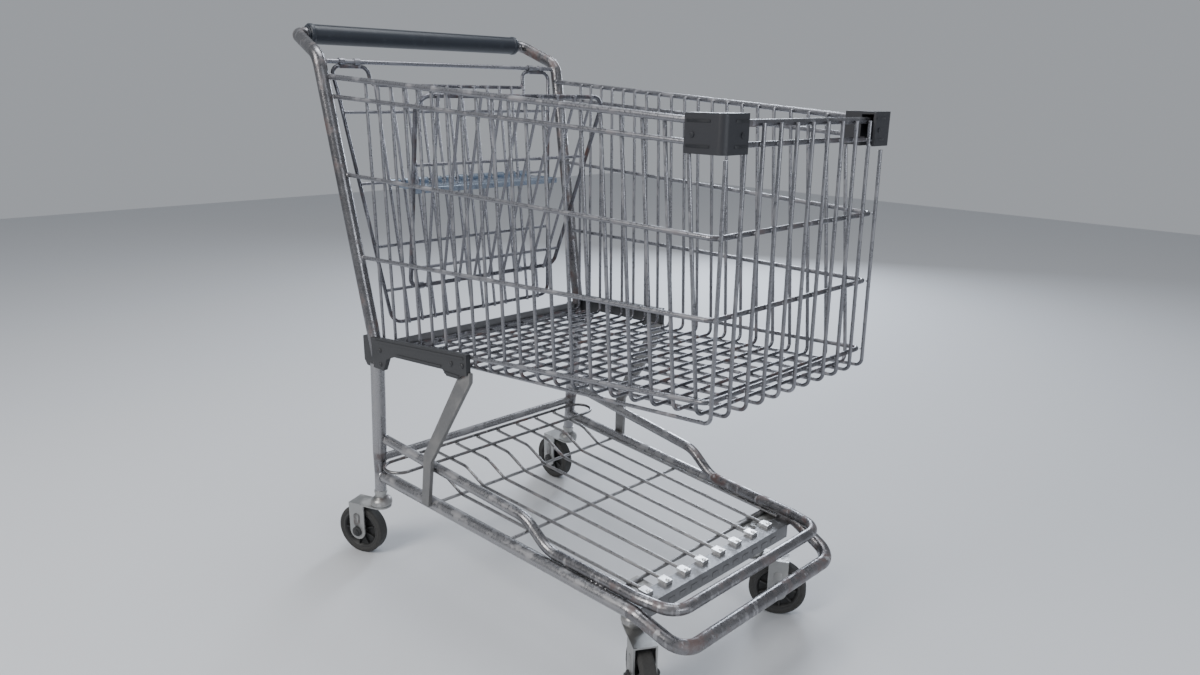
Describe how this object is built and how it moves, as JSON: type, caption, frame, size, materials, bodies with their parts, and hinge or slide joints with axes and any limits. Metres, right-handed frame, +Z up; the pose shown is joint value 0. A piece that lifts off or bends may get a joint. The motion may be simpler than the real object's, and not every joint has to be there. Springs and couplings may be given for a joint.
{
  "type": "shopping trolley",
  "caption": "Wire shopping trolley on swivelling castors, with a tapered basket, lower tray, fold-out child seat and a hinged rear gate.",
  "frame": {"origin": "on the floor, under the middle of the trolley", "axes": "+Z up; the trolley is pushed along -Y, so its basket's small end is at -Y and its handle at +Y; +X is the left-hand side of the person pushing"},
  "size_m": [0.5713, 0.9475, 1.0025],
  "materials": {
    "worn_tube": "worn zinc-plated tube with rust tints and scuffs",
    "tray_wire": "dulled plated wire",
    "basket_wire": "dulled plated wire",
    "gate_wire": "dulled plated wire",
    "seat_wire": "dulled plated wire",
    "strut_metal": "dull grey painted flat bar",
    "tab_metal": "bright bare steel",
    "sheet_metal": "dull plated sheet",
    "seat_plate": "smooth plated sheet",
    "sleeve_plastic": "matte dark slate",
    "bumper_plastic": "matte near black",
    "bracket_plastic": "matte dark grey",
    "castor_fittings": "plated pressed steel",
    "fork_metal": "plated pressed steel",
    "axle_metal": "dark cap",
    "wheel_plastic": "moulded dark plastic",
    "tyre_rubber": "worn dark rubber"
  },
  "bodies": {
    "frame": {"base_tube": "worn_tube", "basket_cross_wires": "basket_wire", "basket_long_wires": "basket_wire", "basket_rim": "basket_wire", "basket_ring_floor": "basket_wire", "basket_ring_lower": "basket_wire", "basket_ring_middle": "basket_wire", "basket_ring_upper": "basket_wire", "castor_housing_front_left": "castor_fittings", "castor_housing_front_right": "castor_fittings", "castor_housing_rear_left": "castor_fittings", "castor_housing_rear_right": "castor_fittings", "corner_bumper_left": "bumper_plastic", "corner_bumper_right": "bumper_plastic", "floor_rear_strip": "sheet_metal", "gate_hinge_rod": "gate_wire", "handle_frame": "worn_tube", "handle_sleeve": "sleeve_plastic", "kingpins": "castor_fittings", "rear_cross_tube": "worn_tube", "rear_leg_left": "worn_tube", "rear_leg_right": "worn_tube", "side_bracket_left": "bracket_plastic", "side_bracket_right": "bracket_plastic", "strut_left": "strut_metal", "strut_right": "strut_metal", "swivel_races": "castor_fittings", "tray_channel": "sheet_metal", "tray_cross_wires": "tray_wire", "tray_edge_wires": "tray_wire", "tray_long_wires": "tray_wire", "tray_rail": "worn_tube", "tray_rear_loop": "tray_wire", "tray_wire_tabs": "tab_metal"},
    "gate": {"gate_cross_wires": "gate_wire", "gate_frame": "gate_wire", "gate_hinge_straps": "gate_wire", "gate_upright_wires": "gate_wire"},
    "seat_back": {"seat_back_cross_wires": "seat_wire", "seat_back_frame": "seat_wire", "seat_back_uprights": "seat_wire"},
    "seat_pan": {"seat_pan": "seat_plate"},
    "fork_body_front_left": {"axle_front_left": "axle_metal", "fork_front_left": "fork_metal"},
    "wheel_front_left": {"tyre_front_left": "tyre_rubber", "wheel_core_front_left": "wheel_plastic"},
    "fork_body_front_right": {"axle_front_right": "axle_metal", "fork_front_right": "fork_metal"},
    "wheel_front_right": {"tyre_front_right": "tyre_rubber", "wheel_core_front_right": "wheel_plastic"},
    "fork_body_rear_left": {"axle_rear_left": "axle_metal", "fork_rear_left": "fork_metal"},
    "wheel_rear_left": {"tyre_rear_left": "tyre_rubber", "wheel_core_rear_left": "wheel_plastic"},
    "fork_body_rear_right": {"axle_rear_right": "axle_metal", "fork_rear_right": "fork_metal"},
    "wheel_rear_right": {"tyre_rear_right": "tyre_rubber", "wheel_core_rear_right": "wheel_plastic"}
  },
  "joints": [
    {"name": "gate_swing", "type": "hinge", "parent": "frame", "child": "gate", "pos_m": [0, 0.361, 0.936], "axis": [-1, 0, 0], "range_deg": [0, 70]},
    {"name": "seat_back_fold", "type": "hinge", "parent": "gate", "child": "seat_back", "pos_m": [0, 0.30658, 0.528], "axis": [-1, 0, 0], "range_deg": [0, 24]},
    {"name": "seat_pan_fold", "type": "hinge", "parent": "gate", "child": "seat_pan", "pos_m": [0, 0.33219, 0.725], "axis": [-1, 0, 0], "range_deg": [0, 84]},
    {"name": "castor_swivel_front_left", "type": "hinge", "parent": "frame", "child": "fork_body_front_left", "pos_m": [0.15, -0.31, 0.11], "axis": [0, 0, 1], "continuous": true},
    {"name": "wheel_spin_front_left", "type": "hinge", "parent": "fork_body_front_left", "child": "wheel_front_left", "pos_m": [0.17544, -0.35071, 0.05], "axis": [-0.848, -0.5299, 0], "continuous": true},
    {"name": "castor_swivel_front_right", "type": "hinge", "parent": "frame", "child": "fork_body_front_right", "pos_m": [-0.15, -0.31, 0.11], "axis": [0, 0, 1], "continuous": true},
    {"name": "wheel_spin_front_right", "type": "hinge", "parent": "fork_body_front_right", "child": "wheel_front_right", "pos_m": [-0.174, -0.35157, 0.05], "axis": [-0.866, 0.5, 0], "continuous": true},
    {"name": "castor_swivel_rear_left", "type": "hinge", "parent": "frame", "child": "fork_body_rear_left", "pos_m": [0.243, 0.289, 0.11], "axis": [0, 0, 1], "continuous": true},
    {"name": "wheel_spin_rear_left", "type": "hinge", "parent": "fork_body_rear_left", "child": "wheel_rear_left", "pos_m": [0.243, 0.337, 0.05], "axis": [1, 0, 0], "continuous": true},
    {"name": "castor_swivel_rear_right", "type": "hinge", "parent": "frame", "child": "fork_body_rear_right", "pos_m": [-0.243, 0.289, 0.11], "axis": [0, 0, 1], "continuous": true},
    {"name": "wheel_spin_rear_right", "type": "hinge", "parent": "fork_body_rear_right", "child": "wheel_rear_right", "pos_m": [-0.26252, 0.33285, 0.05], "axis": [0.9135, 0.4067, 0], "continuous": true}
  ],
  "couplings": [
    {"joint": "seat_pan_fold", "follows": "seat_back_fold", "ratio": 3.5}
  ]
}
